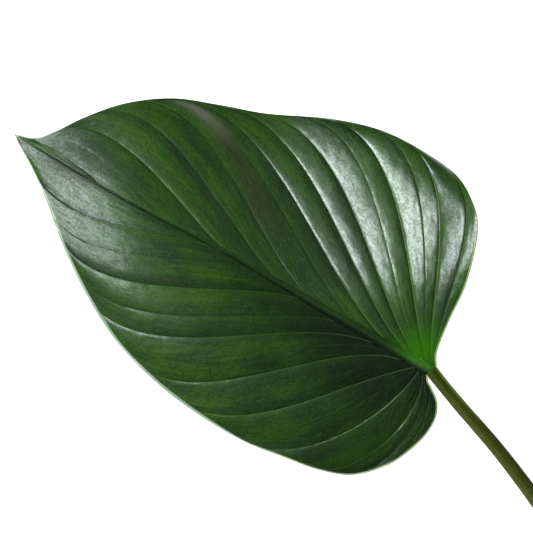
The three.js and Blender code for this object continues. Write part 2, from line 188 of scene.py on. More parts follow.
def panelWidth(half, s, u):
    # width of the panel between two veins, measured square to them
    step = 0.02
    top = len(half["table"])
    s0, s1 = np.clip(s - step, 0, top), np.clip(s + step, 0, top)
    u0, u1 = np.clip(u - step, 0, 1), np.clip(u + step, 0, 1)
    across = (planPoint(half, s1, u) - planPoint(half, s0, u)) / (s1 - s0)[..., None]
    down = planPoint(half, s, u1) - planPoint(half, s, u0)
    length = np.maximum(np.hypot(down[..., 0], down[..., 1]), 1e-6)
    return np.abs(across[..., 0] * down[..., 1] - across[..., 1] * down[..., 0]) / length


def lieHeight(x, y):
    # smooth lie of the blade without its pleats
    share = x / plan["length"]
    out = np.abs(y)
    left = along(leftHalf["rise"], share) * out - along(leftHalf["droop"], share) * out * out
    right = along(rightHalf["rise"], share) * out - along(rightHalf["droop"], share) * out * out
    return along(plan["spine"], share) + np.where(y > 0, left, right)


def lieNormal(x, y):
    step = 0.5
    away = np.where(np.abs(y) < 1, np.where(y < 0, -1.0, 1.0), y)
    dx = (lieHeight(x + step, away) - lieHeight(x - step, away)) / (2 * step)
    dy = (lieHeight(x, away + step) - lieHeight(x, away - step)) / (2 * step)
    normal = np.stack([-dx, -dy, np.ones_like(dx)], -1)
    return normal / np.linalg.norm(normal, axis=-1, keepdims=True)


walkMargin(leftHalf)
walkMargin(rightHalf)

# Shader and geometry trees are written as expressions on their sockets


class Wire:
    def __init__(self, graph, socket):
        self.graph = graph
        self.socket = socket

    def math(self, operation, a, b=None):
        values = {0: a} if b is None else {0: a, 1: b}
        return self.graph.node("ShaderNodeMath", {"operation": operation}, values)

    def __add__(self, other):
        return self.math("ADD", self, other)

    def __radd__(self, other):
        return self.math("ADD", other, self)

    def __sub__(self, other):
        return self.math("SUBTRACT", self, other)

    def __rsub__(self, other):
        return self.math("SUBTRACT", other, self)

    def __mul__(self, other):
        return self.math("MULTIPLY", self, other)

    def __rmul__(self, other):
        return self.math("MULTIPLY", other, self)

    def __truediv__(self, other):
        return self.math("DIVIDE", self, other)

    def __rtruediv__(self, other):
        return self.math("DIVIDE", other, self)

    def __pow__(self, other):
        return self.math("POWER", self, other)

    def below(self, other):
        return self.math("MINIMUM", self, other)

    def above(self, other):
        return self.math("MAXIMUM", self, other)

    def sine(self):
        return self.math("SINE", self)

    def cosine(self):
        return self.math("COSINE", self)

    def bell(self, width):
        # 1 at zero, falling away within the width
        return self.math("EXPONENT", (self / width) ** 2 * -1)

    def fade(self, low, high):
        # smooth step from 0 at low to 1 at high
        return self.graph.node(
            "ShaderNodeMapRange", {"interpolation_type": "SMOOTHSTEP"}, {0: self, 1: low, 2: high}
        )

    def gone(self, low, high):
        # smooth step from 1 at low to 0 at high
        return 1 - self.fade(low, high)

    def between(self, low, risen, falling, high):
        # 1 from risen to falling, 0 outside low and high
        return self.fade(low, risen) * self.gone(falling, high)


class Graph:
    def __init__(self, tree):
        self.tree = tree

    def node(self, kind, settings=None, values=None, out=0):
        made = self.tree.nodes.new(kind)
        for name, value in (settings or {}).items():
            setattr(made, name, value)
        for key, value in (values or {}).items():
            if isinstance(value, Wire):
                self.tree.links.new(value.socket, made.inputs[key])
            else:
                made.inputs[key].default_value = value
        return Wire(self, made.outputs[out]) if made.outputs else None

    def attribute(self, name):
        # a number stored on the mesh
        if self.tree.bl_idname == "GeometryNodeTree":
            return self.node("GeometryNodeInputNamedAttribute", {"data_type": "FLOAT"}, {0: name})
        return self.node("ShaderNodeAttribute", {"attribute_name": name}, out=2)

    def scaled(self, vector, factor):
        return self.node("ShaderNodeVectorMath", {"operation": "SCALE"}, {0: vector, "Scale": factor})

    def combine(self, x=0.0, y=0.0, z=0.0):
        return self.node("ShaderNodeCombineXYZ", {}, {0: x, 1: y, 2: z})

    def separate(self, vector):
        parts = self.node("ShaderNodeSeparateXYZ", {}, {0: vector}).socket.node
        return [Wire(self, end) for end in parts.outputs]

    def noise(self, place, scale, detail=2, roughness=0.5, seed=0):
        values = {"Vector": place, "Scale": scale, "Detail": detail, "Roughness": roughness, "W": seed}
        return self.node("ShaderNodeTexNoise", {"noise_dimensions": "4D"}, values)

    def blend(self, share, a, b):
        # colour mix
        a = (*a, 1) if isinstance(a, tuple) else a
        b = (*b, 1) if isinstance(b, tuple) else b
        return self.node("ShaderNodeMix", {"data_type": "RGBA"}, {0: share, 6: a, 7: b}, out=2)


# Camera: straight above the leaf, turned so that the tip points up and to the left

view = {
    "distance": 2.6,
    "frameWidth": 0.2665,
    "sensor": 36,
    "reach": 20,
    "leafTop": 0.02,  # height that the distance is measured from
    "tipRight": -0.870,  # direction of the midrib in the picture
    "tipUp": 0.4925,
    "middle": (98.1, -4.8),  # place on the blade at the picture's middle
}
marginHighest = max(y for x, y in leftHalf["margin"])
marginLowest = min(y for x, y in rightHalf["margin"])
shift = Vector((
    bladeHigh.x - plan["length"] * mm,
    (bladeLow.y + bladeHigh.y) / 2 - (marginHighest + marginLowest) / 2 * mm,
    0,
))
pictureRight = Vector((view["tipRight"], -view["tipUp"], 0))
pictureUp = Vector((view["tipUp"], view["tipRight"], 0))
pictureMiddle = shift + Vector((view["middle"][0] * mm, view["middle"][1] * mm, 0))


def addCamera():
    data = bpy.data.cameras.new("leafCamera")
    data.sensor_width = view["sensor"]
    data.lens = view["sensor"] * view["distance"] / view["frameWidth"]
    data.clip_end = view["reach"]
    camera = bpy.data.objects.new("leafCamera", data)
    turn = Matrix((pictureRight, pictureUp, Vector((0, 0, 1)))).transposed()
    place = pictureMiddle + Vector((0, 0, view["leafTop"] + view["distance"]))
    camera.matrix_world = Matrix.Translation(place) @ turn.to_4x4()
    bpy.context.scene.collection.objects.link(camera)
    bpy.context.scene.camera = camera


addCamera()
print("camera placed")


def linkPiece(name, mesh):
    piece = bpy.data.objects.new(name, mesh)
    bpy.context.scene.collection.objects.link(piece)
    return piece


def startTree(name, sizes):
    # a tree with one named input for each size and one for the material, found by their identifiers
    tree = bpy.data.node_groups.new(name, "GeometryNodeTree")
    for direction in ("INPUT", "OUTPUT"):
        tree.interface.new_socket(name="Geometry", in_out=direction, socket_type="NodeSocketGeometry")
    group = Graph(tree)
    group.node("NodeGroupInput")
    group.node("NodeGroupOutput")
    sockets = {}
    for key, size in sizes.items():
        kind = "NodeSocketInt" if isinstance(size, int) else "NodeSocketFloat"
        sockets[key] = tree.interface.new_socket(name=key, in_out="INPUT", socket_type=kind)
        sockets[key].default_value = size
    sockets["Material"] = tree.interface.new_socket(
        name="Material", in_out="INPUT", socket_type="NodeSocketMaterial"
    )
    ends = {end.identifier: end for end in tree.nodes["Group Input"].outputs}
    wires = {key: Wire(group, ends[socket.identifier]) for key, socket in sockets.items()}
    wires["Geometry"] = Wire(group, tree.nodes["Group Input"].outputs[0])
    return tree, group, wires


def endTree(tree, group, geometry, material):
    plain = group.node("GeometryNodeRealizeInstances", {}, {0: geometry})
    dressed = group.node("GeometryNodeSetMaterial", {}, {"Geometry": plain, "Material": material})
    tree.links.new(dressed.socket, tree.nodes["Group Output"].inputs[0])


def applyTree(source, tree, values, name):
    # runs the tree on a source object and keeps its result as a plain mesh
    modifier = source.modifiers.new("rule", "NODES")
    modifier.node_group = tree
    for item in tree.interface.items_tree:
        if item.in_out == "INPUT" and item.name in values:
            modifier[item.identifier] = values[item.name]
    bpy.context.view_layer.update()
    evaluated = source.evaluated_get(bpy.context.evaluated_depsgraph_get())
    mesh = bpy.data.meshes.new_from_object(evaluated)
    mesh.name = name
    bpy.data.objects.remove(source)
    return linkPiece(name, mesh)


def startMaterial(name):
    material = bpy.data.materials.new(name)
    material.use_nodes = True
    material.node_tree.nodes.clear()
    return material, Graph(material.node_tree)


def endMaterial(group, values):
    shader = group.node("ShaderNodeBsdfPrincipled", {}, values)
    group.node("ShaderNodeOutputMaterial", {}, {0: shader})


# Blade: a net of vein lines in plan, lifted by a rule into pleats, grooves and ribs, in millimetres

bladeLook = {
    "columnSpacing": 1.3,
    "columnsPerPanel": (12, 26),  # in the narrowest and the widest panels
    "rowsAcross": 84,
    "measuredRow": 40,  # where the panels' widths are added up for the noises
    "halvesApart": 400,  # keeps the noises of the two halves different
    "midribStations": 160,
    "midribRows": 14,
    "pleatStrength": 1.0,
    "widestPleat": 13.0,
    "crestPower": 0.8,
    "faintLift": 1.5,
    "marginFlattens": 0.72,  # share of a pleat that is gone at the margin
    "edgeWave": 0.9,
    "wavesPerSide": 6.0,
    "thickness": 0.6,
    "rimBulge": 0.16,
    "ribHeight": 0.7,
    "ribWidth": 1.0,
    "ribFades": 0.6,  # share of a rib's height that is gone at the margin
    "veinGroove": 0.12,
    "veinWidth": 0.55,
    "rippleHeight": 0.07,
    "rippleSize": 4.0,
    "furrowScale": 0.45,
    "furrowStretch": 0.3,
    "grooveFrom": (0.5, 3.0),  # panel widths over which grooves come in, then ribs and ripples
    "ribFrom": (0.5, 5.0),
    # these two place the pleats' painted shade and painted light
    "darkSide": (0.42, 0.95),  # shares of a panel's width over which its sides darken and brighten
    "lightSide": (0, 0.5),
    "midribGroove": 0.8,
    "grooveStart": 0.06,  # these two are shares of the length
    "crownReach": 0.1,
    "midribCrown": 2.2,
    "keelDepth": (0.4, 2.4),  # at the tip, and what is added toward the stalk
    "keelTaper": 1.1,
    "seed": 4.0,
}


def panelStations(half):
    stations = []
    table = half["table"]
    fewest, most = bladeLook["columnsPerPanel"]
    ends = list(table[:, 1]) + [0]
    for k in range(len(table)):
        wide = (ends[k] - ends[k + 1]) * half["marginLength"]
        count = int(np.clip(wide / bladeLook["columnSpacing"], fewest, most))
        f = np.arange(count) / count
        stations.extend(k + 0.5 - 0.5 * np.cos(np.pi * f))
    stations.append(len(table))
    return np.array(stations)


def edgeDistance(xy):
    # least distance to the margin, for the pale rim, and the nearest place's share of the margin
    least = np.full(len(xy), 1e9)
    nearShare = np.zeros(len(xy))
    shares = np.linspace(0, 1, 900)
    batch = 4000
    for half in (leftHalf, rightHalf):
        course = marginPoint(half, shares)
        for start in range(0, len(xy), batch):
            part = slice(start, start + batch)
            gap = np.hypot(
                xy[part, 0, None] - course[None, :, 0], xy[part, 1, None] - course[None, :, 1]
            )
            best = gap.argmin(1)
            value = gap[np.arange(len(best)), best]
            closer = value < least[part]
            least[part] = np.where(closer, value, least[part])
            nearShare[part] = np.where(closer, shares[best] * half["side"], nearShare[part])
    return least, nearShare


def halfNet(half):
    # rows of points and what the relief needs to know at each
    rows = np.linspace(0, 1, bladeLook["rowsAcross"] + 1)
    s, u = np.meshgrid(panelStations(half), rows, indexing="ij")
    xy = planPoint(half, s, u)
    width = panelWidth(half, s, u)
    last = len(half["table"]) - 1
    k = np.minimum(np.floor(s), last)
    f = s - k
    depth = np.append(half["table"][:, 3], 1)
    before, after = depth[k.astype(int)], depth[k.astype(int) + 1]
    # painted shade on each panel's side before the next vein, painted light on its side just after a vein
    dark = smooth(f, *bladeLook["darkSide"]) * after * (k < last)
    light = (1 - smooth(f, *bladeLook["lightSide"])) * before
    nearVein = np.where((f > 0.5) & (k < last), 1 - f, f)
    measured = bladeLook["measuredRow"]
    wide = panelWidth(half, s[:, measured], u[:, measured])
    walked = np.concatenate([[0], np.cumsum(np.diff(s[:, 0]) * (wide[1:] + wide[:-1]) / 2)])
    walked += bladeLook["halvesApart"] * (half["side"] < 0)
    steps = np.hypot(*np.moveaxis(np.diff(xy, axis=1), -1, 0))
    down = np.concatenate([np.zeros((len(s), 1)), np.cumsum(steps, axis=1)], axis=1)
    facts = {
        "panelShare": f,
        "panelWidth": width,
        "pleatPerWidth": along(half["pleat"], veinValue(half, np.minimum(s, last), 1)),
        "edgeCurl": along(half["curl"], veinValue(half, np.minimum(s, last), 1)),
        "alongVein": u,
        "faint": 1 - np.interp(s, np.arange(len(depth)), depth),
        "crestShare": np.minimum(before, after),
        "panelShade": dark - light,
        "veinDepth": depth[np.round(s).astype(int)] * (s < last + 0.5),
        "veinDistance": nearVein * width,
        "endShare": veinValue(half, np.minimum(s, last), 1),
        "sideSign": np.full(s.shape, float(half["side"])),
        "netAcross": np.repeat(walked[:, None], s.shape[1], 1),
        "netDown": down,
        "onMidrib": np.zeros(s.shape),
    }
    return xy, facts


def midribNet(count):
    # inner rows of the midrib, from its left edge to its right edge, tip first
    share = (np.arange(bladeLook["midribStations"], -1, -1) / bladeLook["midribStations"]) ** 1.5
    across = np.cos(np.linspace(0, np.pi, count + 2))[1:-1]
    xy = np.stack([midribPoint(share, a) for a in across])
    rows = np.repeat(share[None], count, 0)
    acrossGrid = np.repeat(across[:, None], len(share), 1)
    return xy, rows, acrossGrid


class Sheet:
    # upper and lower points of the blade with the faces between them
    def __init__(self):
        self.xy, self.facts, self.faces, self.known = [], [], [], {}

    def add(self, xy, facts):
        fineness = 500  # points in one cell of 1/500 mm are the same
        key = (round(xy[0] * fineness), round(xy[1] * fineness))
        if key not in self.known:
            self.known[key] = len(self.xy)
            self.xy.append(xy)
            self.facts.append(facts)
        return self.known[key]

    def face(self, corners, flip):
        corners = [c for n, c in enumerate(corners) if c != corners[n - 1]]
        if len(corners) > 2:
            self.faces.append(corners[::-1] if flip else corners)


factNames = [
    "panelShare", "panelWidth", "alongVein", "faint", "crestShare", "veinDepth", "veinDistance",
    "endShare", "sideSign", "netAcross", "netDown", "onMidrib", "crown", "keel", "pleatPerWidth",
    "edgeCurl", "panelShade",
]


def factTable(facts, shape):
    # the facts of every point in the order of their names, 0 where one isn't given
    return np.stack([facts.get(name, np.zeros(shape)) for name in factNames], -1)


def addGrid(sheet, half):
    xy, facts = halfNet(half)
    table = factTable(facts, xy.shape[:2])
    ids = np.array([
        [sheet.add(xy[i, j], table[i, j]) for j in range(xy.shape[1])] for i in range(xy.shape[0])
    ])
    for i in range(len(ids) - 1):
        for j in range(ids.shape[1] - 1):
            sheet.face([ids[i, j], ids[i, j + 1], ids[i + 1, j + 1], ids[i + 1, j]], half["side"] < 0)
    return list(ids[:, 0])


def joinCourses(sheet, outer, inner, flip):
    # faces between two courses of points that both run from the tip to the stalk
    i = j = 0
    while i + 1 < len(outer) or j + 1 < len(inner):
        outerNext = sheet.xy[outer[i + 1]][0] if i + 1 < len(outer) else -1e9
        innerNext = sheet.xy[inner[j + 1]][0] if j + 1 < len(inner) else -1e9
        if outerNext >= innerNext:
            sheet.face([inner[j], outer[i], outer[i + 1]], flip)
            i += 1
        else:
            sheet.face([inner[j], outer[i], inner[j + 1]], flip)
            j += 1


def addMidrib(sheet, leftRoots, rightRoots):
    xy, share, across = midribNet(bladeLook["midribRows"])
    rounding = np.sqrt(np.maximum(1 - across ** 2, 0))
    look = bladeLook
    crown = look["midribCrown"] * np.clip(1 - share / look["crownReach"], 0, 1) ** 2 * rounding
    groove = look["midribGroove"] * np.clip(share / look["grooveStart"], 0, 1)
    groove = groove * np.clip((1 - share) * 4, 0, 1)  # gone over the last quarter
    thin, added = look["keelDepth"]
    keel = (thin + added * (1 - share) ** look["keelTaper"]) * rounding
    keel = keel * np.clip((1 - share) / plan["tipTaper"], 0, 1)
    facts = {
        "onMidrib": np.ones(share.shape),
        "crown": crown - groove * rounding ** 2,
        "keel": keel,
        "endShare": share,
        "netAcross": across * 3,
        "netDown": share * plan["length"],
        "sideSign": across,
        "veinDistance": np.full(share.shape, 9.0),  # too far for a vein to show
    }
    table = factTable(facts, share.shape)
    rows = [[sheet.add(xy[r, i], table[r, i]) for i in range(xy.shape[1])] for r in range(len(xy))]
    joinCourses(sheet, leftRoots, rows[0], False)
    for a, b in zip(rows, rows[1:]):
        joinCourses(sheet, a, b, False)
    joinCourses(sheet, rightRoots, rows[-1], True)


def rimEdges(faces):
    # directed edges that only one face uses
    edges = {}
    for face in faces:
        for n, corner in enumerate(face):
            edges[(face[n - 1], corner)] = True
    return [edge for edge in edges if (edge[1], edge[0]) not in edges]


def rimWall(rim, xy, top):
    # a course a little outside the rim, and the faces from it to the upper and lower sides
    count = len(xy)
    wallId, wallFrom, faces = {}, [], []
    for edge in rim:
        for corner in edge:
            if corner not in wallId:
                wallId[corner] = 2 * count + len(wallId)
                wallFrom.append(corner)
    outward = np.zeros((count, 2))
    for a, b in rim:
        faces.append((b, a, wallId[a], wallId[b]))
        faces.append((wallId[b], wallId[a], a + count, b + count))
        away = xy[b] - xy[a]
        away = np.array([away[1], -away[0]]) / max(np.hypot(*away), 1e-9)
        outward[a] += away
        outward[b] += away
    outward /= np.maximum(np.hypot(outward[:, 0], outward[:, 1]), 1e-9)[:, None]
    wall = top[wallFrom].copy()
    wall[:, :2] += bladeLook["rimBulge"] * outward[wallFrom]
    return wall, wallFrom, faces


def bladeSource():
    sheet = Sheet()
    leftRoots = addGrid(sheet, leftHalf)
    rightRoots = addGrid(sheet, rightHalf)
    addMidrib(sheet, leftRoots, rightRoots)
    xy, facts = np.array(sheet.xy), np.array(sheet.facts)
    count = len(xy)
    normal = lieNormal(xy[:, 0], xy[:, 1])
    normal[facts[:, factNames.index("onMidrib")] > 0.5] = (0, 0, 1)
    height = lieHeight(xy[:, 0], xy[:, 1])
    top = np.column_stack([xy, height + facts[:, factNames.index("crown")]])
    under = np.column_stack([xy, height - facts[:, factNames.index("keel")]])
    wall, wallFrom, wallFaces = rimWall(rimEdges(sheet.faces), xy, top)
    faces = [tuple(f) for f in sheet.faces] + [tuple(c + count for c in f[::-1]) for f in sheet.faces]
    points = np.vstack([top, under, wall])
    twice = np.vstack([facts, facts, facts[wallFrom]])
    columns = {name: twice[:, n] for n, name in enumerate(factNames)}
    columns["under"] = np.concatenate([np.zeros(count), np.ones(count), np.full(len(wallFrom), 0.5)])
    distance, nearShare = edgeDistance(xy)
    columns["edgeDistance"] = np.concatenate([distance, distance, distance[wallFrom]])
    columns["nearShare"] = np.concatenate([nearShare, nearShare, nearShare[wallFrom]])
    normals = np.vstack([normal, normal, normal[wallFrom]])
    return points, faces + wallFaces, columns, normals


def meshFrom(name, points, faces):
    mesh = bpy.data.meshes.new(name)
    mesh.from_pydata([tuple(p) for p in points], [], faces)
    mesh.update()
    return mesh


def storeNumbers(mesh, name, values):
    layer = mesh.attributes.new(name, "FLOAT", "POINT")
    layer.data.foreach_set("value", np.asarray(values, np.float32))


def storeVectors(mesh, name, values):
    layer = mesh.attributes.new(name, "FLOAT_VECTOR", "POINT")
    layer.data.foreach_set("vector", np.asarray(values, np.float32).ravel())


def reliefTree(sizes):
    look = bladeLook
    tree, group, value = startTree("leafRelief", sizes)
    f, u = group.attribute("panelShare"), group.attribute("alongVein")
    width, faint = group.attribute("panelWidth"), group.attribute("faint")
    under, onMidrib = group.attribute("under"), group.attribute("onMidrib")
    depth, vein = group.attribute("veinDepth"), group.attribute("veinDistance")
    # pleats between the veins, flatter toward the margin
    crest = (4 * f * (1 - f)).above(0) ** look["crestPower"] * group.attribute("crestShare")
    lift = crest + look["faintLift"] * (2 * faint - faint * faint).above(0) ** look["crestPower"]
    strength = group.attribute("pleatPerWidth") * value["Pleat Strength"]
    flatter = 1 - look["marginFlattens"] * u * u * u
    pleat = width.below(value["Widest Pleat"]) * strength * lift * flatter
    # waved and curled margin
    phase = group.attribute("endShare") * value["Waves"] * (2 * math.pi) + group.attribute("sideSign")
    wave = phase.sine() * value["Edge Wave"] * u ** 5 + group.attribute("edgeCurl") * u ** 4
    wave = wave * (1 - onMidrib)
    # fine ripples and lengthwise furrows
    spot = group.scaled(group.node("GeometryNodeInputPosition"), 1 / value["Ripple Size"])
    bumps = group.noise(spot, 1.0, 2, 0.5, value["Seed"]) - 0.5
    net = group.combine(group.attribute("netAcross"), group.attribute("netDown") * look["furrowStretch"])
    furrows = group.noise(net, look["furrowScale"], 2, 0.5, value["Seed"]) - 0.5
    calm = width.fade(*look["ribFrom"]) * (1 - onMidrib)
    ripple = (bumps + furrows) * value["Ripple Height"] * 4 * calm
    # veins sunk into the upper face and ribs below
    sink = vein.bell(look["veinWidth"]) * depth * value["Vein Groove"]
    sink = sink * width.fade(*look["grooveFrom"]) * (1 - under)
    rib = vein.bell(look["ribWidth"]) * depth * value["Rib Height"]
    rib = rib * width.fade(*look["ribFrom"]) * (1 - look["ribFades"] * u)
    rise = group.combine(z=pleat * (1 - onMidrib) + wave + ripple - sink)
    normal = group.node("GeometryNodeInputNamedAttribute", {"data_type": "FLOAT_VECTOR"}, {0: "lieNormal"})
    inward = group.scaled(normal, (value["Thickness"] + rib * under) * under * -1)
    offset = group.node("ShaderNodeVectorMath", {"operation": "ADD"}, {0: rise, 1: inward})
    moved = group.node("GeometryNodeSetPosition", {}, {"Geometry": value["Geometry"], "Offset": offset})
    endTree(tree, group, moved, value["Material"])
    return tree


def layDown(mesh):
    # the lowest points of the two halves come to rest on the surface together
    rounds, besideMidrib = 4, 20
    points = np.zeros(len(mesh.vertices) * 3)
    mesh.vertices.foreach_get("co", points)
    points = points.reshape(-1, 3)
    for _ in range(rounds):
        low = []
        for side in (1, -1):
            reach = np.where(points[:, 1] * side > besideMidrib, points[:, 2], 1e9)
            low.append(points[reach.argmin()])
        roll = (low[0][2] - low[1][2]) / (low[0][1] - low[1][1])
        points[:, 2] -= low[0][2] + roll * (points[:, 1] - low[0][1])
    points *= mm
    points[:, 0] += shift.x
    points[:, 1] += shift.y
    mesh.vertices.foreach_set("co", points.ravel())
    mesh.update()


def makeBlade(material):
    points, faces, columns, normals = bladeSource()
    mesh = meshFrom("bladeNet", points, faces)
    for name, values in columns.items():
        storeNumbers(mesh, name, values)
    storeVectors(mesh, "lieNormal", normals)
    look = bladeLook
    sizes = {
        "Pleat Strength": look["pleatStrength"], "Widest Pleat": look["widestPleat"],
        "Edge Wave": look["edgeWave"], "Waves": look["wavesPerSide"], "Thickness": look["thickness"],
        "Rib Height": look["ribHeight"], "Vein Groove": look["veinGroove"],
        "Ripple Height": look["rippleHeight"], "Ripple Size": look["rippleSize"], "Seed": look["seed"],
    }
    tree = reliefTree(sizes)
    piece = applyTree(linkPiece("bladeNet", mesh), tree, {**sizes, "Material": material}, "leafBlade")
    layDown(piece.data)
    piece.data.shade_smooth()
    return piece


# Leaf colours: places are millimetres from the stalk along the midrib (x) and across it (y)

leafLook = {
    "deepGreen": (0.007, 0.023, 0.005),
    "midGreen": (0.017, 0.047, 0.006),
    "brightGreen": (0.031, 0.089, 0.002),
    # painted shade colour: beside the midrib, in its groove, in the left lobe, in round patches and on the
    # pleats' far sides
    "shadeGreen": (0.003, 0.009, 0.003),  # beside the midrib near the stalk
    # painted light at the base of the right half, which faces the lamp
    "litBaseGreen": (0.026, 0.115, 0.0008),
    "veinGreen": (0.085, 0.165, 0.045),
    # painted sheen, grey and brown, along one line of the right half
    "bloomBrown": (0.020, 0.025, 0.008),
    "bloomGrey": (0.125, 0.135, 0.090),
    "rimGreen": (0.300, 0.380, 0.270),
    "rimYellow": (0.330, 0.400, 0.150),
    "tipYellow": (0.600, 0.640, 0.330),
    "underGreen": (0.085, 0.165, 0.060),
    "roughness": 0.34,
    "roughnessSpread": 0.14,
    "underRougher": 0.2,
    "refraction": 1.45,
    "specular": 0.09,
    "coat": 0.86,
    "coatRoughness": 0.25,
    "reliefDepth": 0.00060,  # in metres
    # which pattern each noise follows, its scale, detail, roughness and seed
    "noises": {
        "patches": ("plain", 0.035, 3, 0.6, 3.0),
        "streaks": ("stretched", 0.55, 4, 0.62, 5.0),
        "fine": ("stretched", 2.2, 2, 0.6, 8.0),
        "bands": ("stretched", 0.13, 2, 0.5, 11.0),
        "specks": ("plain", 0.95, 3, 0.75, 15.0),
        "grain": ("plain", 1.1, 3, 0.62, 21.0),
        "blotch": ("plain", 0.24, 2, 0.5, 23.0),
        "creases": ("wrinkled", 0.6, 3, 0.6, 27.0),
        "glints": ("plain", 0.85, 3, 0.65, 33.0),
        "flecks": ("wrinkled", 1.5, 2, 0.7, 39.0),
    },
    # shares of the noises in a mixture
    "tone": {"patches": 1.0, "streaks": 0.7, "fine": 0.4, "specks": 0.7, "flecks": 0.5},
    "toneRange": (1.2, 2.1),
    "brightness": {
        "bands": 1.0, "patches": 0.5, "streaks": 0.35, "fine": 0.2, "specks": 0.6, "flecks": 0.4,
    },
    "brightRange": (1.395, 1.795),
    "relief": {"grain": 0.62, "creases": 0.40, "blotch": 0.55, "streaks": 0.22},
    "gloss": {"glints": 0.6, "creases": 0.4},
    "glossRange": (0.38, 0.63),
    "leastGloss": 0.4,
    "brightStrength": 0.7,
    # painted shade, and on the pleats painted light too: where they fade across and along the blade, and
    # their strength
    "besideMidrib": ((6, 36), (50, 125), 0.92),
    "closeToMidrib": ((2.0, 8.0), (205, 228), 0.55),
    "lobeShade": ((5, 25), (15, 75), 0.55),
    "grooveShade": ((12, 30), 0.5),
    "pleatShade": {"dark": 0.45, "bright": 0.3, "goneAtMargin": 0.6},
    # the painted sheen's place along the midrib, and shares of a vein's length where its parts come in
    "bloom": {
        "share": 0.820, "slant": 0.055, "width": 0.014, "brown": (0.15, 0.45), "grey": (0.58, 0.85),
        "end": (0.88, 0.99), "brownStrength": 0.7, "greyStrength": (0.2, 0.9),
    },
    "base": {"spot": (9, -6, 13, 1), "side": (-0.5, 2.5)},
    "veinWidth": (0.12, 0.34),
    "underVeinWidth": (0.3, 1.0),
    "veinReach": 75,  # how far from the stalk the veins stay pale
    "veinStrength": {"right": 0.75, "lessOnLeft": 0.45, "leftFar": 0.10, "farEnd": (0.5, 0.95)},
    "rimWidth": {"least": 0.48, "leftMiddle": 0.80, "base": 0.16, "lobe": 0.20},
    # shares of the margin from the stalk, less than 0 on the right half
    "rimPlaces": {
        "leftMiddle": (0.38, 0.48, 0.86, 0.95), "base": (-0.24, -0.16, 0.05, 0.10),
        "lobe": (0.07, 0.12, 0.36, 0.40),
    },
    "rimStrength": {"left": 0.9, "rightBase": 0.85, "rightTip": 0.8},
    "rimSoftness": (0.7, 1.35),
    "tipStart": 238,
    "waxStart": (8, 32),
    "waxLessBesideMidrib": 0.45,
    # middle, radius and gain of patches of thicker or thinner wax
    "waxSpots": [
        (70, -50, 60, 0.75), (70, -50, 14, -0.3), (130, -66, 22, 0.5), (143, -9, 24, 0.6),
        (194, -10, 20, 0.7), (183, 20, 30, -0.42), (218, -2, 14, -0.5), (84, -76, 12, 0.6),
        (58, -55, 8, 0.4), (121, 58, 26, 0.5),
    ],
    # round patches of painted shade on the left half near the stalk: middle, radius and strength
    "shadeSpots": [(26, 17, 26, 0.95), (78, 38, 14, 0.45)],
}


def mixture(at, shares):
    # weighted sum of noises
    total = 0
    for name, share in shares.items():
        total = getattr(at, name) * share + total
    return total


def spots(x, y, places):
    # sum of round patches with soft edges
    total = 0
    for px, py, radius, gain in places:
        total = (((x - px) ** 2 + (y - py) ** 2) ** 0.5).bell(radius) * gain + total
    return total


def leafFacts(group):
    # plan in millimetres, numbers stored on the mesh and noises, for the colours below
    names = (
        "under", "netAcross", "netDown", "alongVein", "veinDepth", "veinDistance", "edgeDistance",
        "nearShare", "onMidrib", "panelShade", "endShare",
    )
    at = SimpleNamespace(**{name: group.attribute(name) for name in names})
    place = group.node("ShaderNodeTexCoord", out=3)
    x, y = group.separate(place)[:2]
    at.x = x * 1000 - shift.x * 1000
    at.y = y * 1000 - shift.y * 1000
    at.left = at.y.fade(-0.5, 0.5)
    at.fromStalk = (at.x * at.x + at.y * at.y) ** 0.5
    patterns = {
        "plain": group.scaled(place, 1000.0),
        "stretched": group.combine(at.netAcross, at.netDown * 0.1),
        "wrinkled": group.combine(at.netAcross, at.netDown * 0.35),
    }
    for name, (pattern, *settings) in leafLook["noises"].items():
        setattr(at, name, group.noise(patterns[pattern], *settings))
    # painted shade on the left half beside the midrib: broad near the stalk, a narrow strip along it toward
    # the tip
    dark = []
    for across, lengthwise, strength in (leafLook["besideMidrib"], leafLook["closeToMidrib"]):
        dark.append(at.y.gone(*across) * at.x.gone(*lengthwise) * strength)
    at.beside = dark[0].above(dark[1]) * at.left
    return at


def streakedGreen(group, at):
    # darker and brighter green in streaks along the veins
    look = leafLook
    tone = mixture(at, look["tone"]).fade(*look["toneRange"])
    bright = mixture(at, look["brightness"]).fade(*look["brightRange"])
    green = group.blend(tone, look["deepGreen"], look["midGreen"])
    return group.blend(bright * look["brightStrength"], green, look["brightGreen"])


def shadedGreen(group, at, green):
    # painted light and painted shade on the pleats' sides, and painted shade beside the midrib, in its
    # groove, in the left lobe and in round patches
    look, pleat = leafLook, leafLook["pleatShade"]
    side = at.panelShade * (1 - at.alongVein ** 3 * pleat["goneAtMargin"])
    green = group.blend((side * -1).above(0) * pleat["bright"], green, look["brightGreen"])
    start, strength = look["grooveShade"]
    groove = at.onMidrib * at.x.fade(*start) * strength
    across, lengthwise, strength = look["lobeShade"]
    lobe = at.x.gone(*lengthwise) * at.y.fade(*across) * strength
    patches = spots(at.x, at.y, look["shadeSpots"]) * at.y.fade(0.5, 3)
    darkest = at.beside.above(groove).above(side.above(0) * pleat["dark"]).above(lobe).above(patches)
    return group.blend(darkest, green, look["shadeGreen"])


def bloomStreak(group, at, green):
    # painted sheen, grey and brown, along one line of the right half
    part, u = leafLook["bloom"], at.alongVein
    line = at.endShare - (part["share"] - part["slant"] * u)
    bloom = line.bell(part["width"]) * u.gone(*part["end"]) * (1 - at.left)
    brown = bloom * u.fade(*part["brown"]) * part["brownStrength"]
    green = group.blend(brown, green, leafLook["bloomBrown"])
    least, streaked = part["greyStrength"]
    grey = bloom * u.fade(*part["grey"]) * (at.streaks * streaked + least)
    return group.blend(grey, green, leafLook["bloomGrey"])


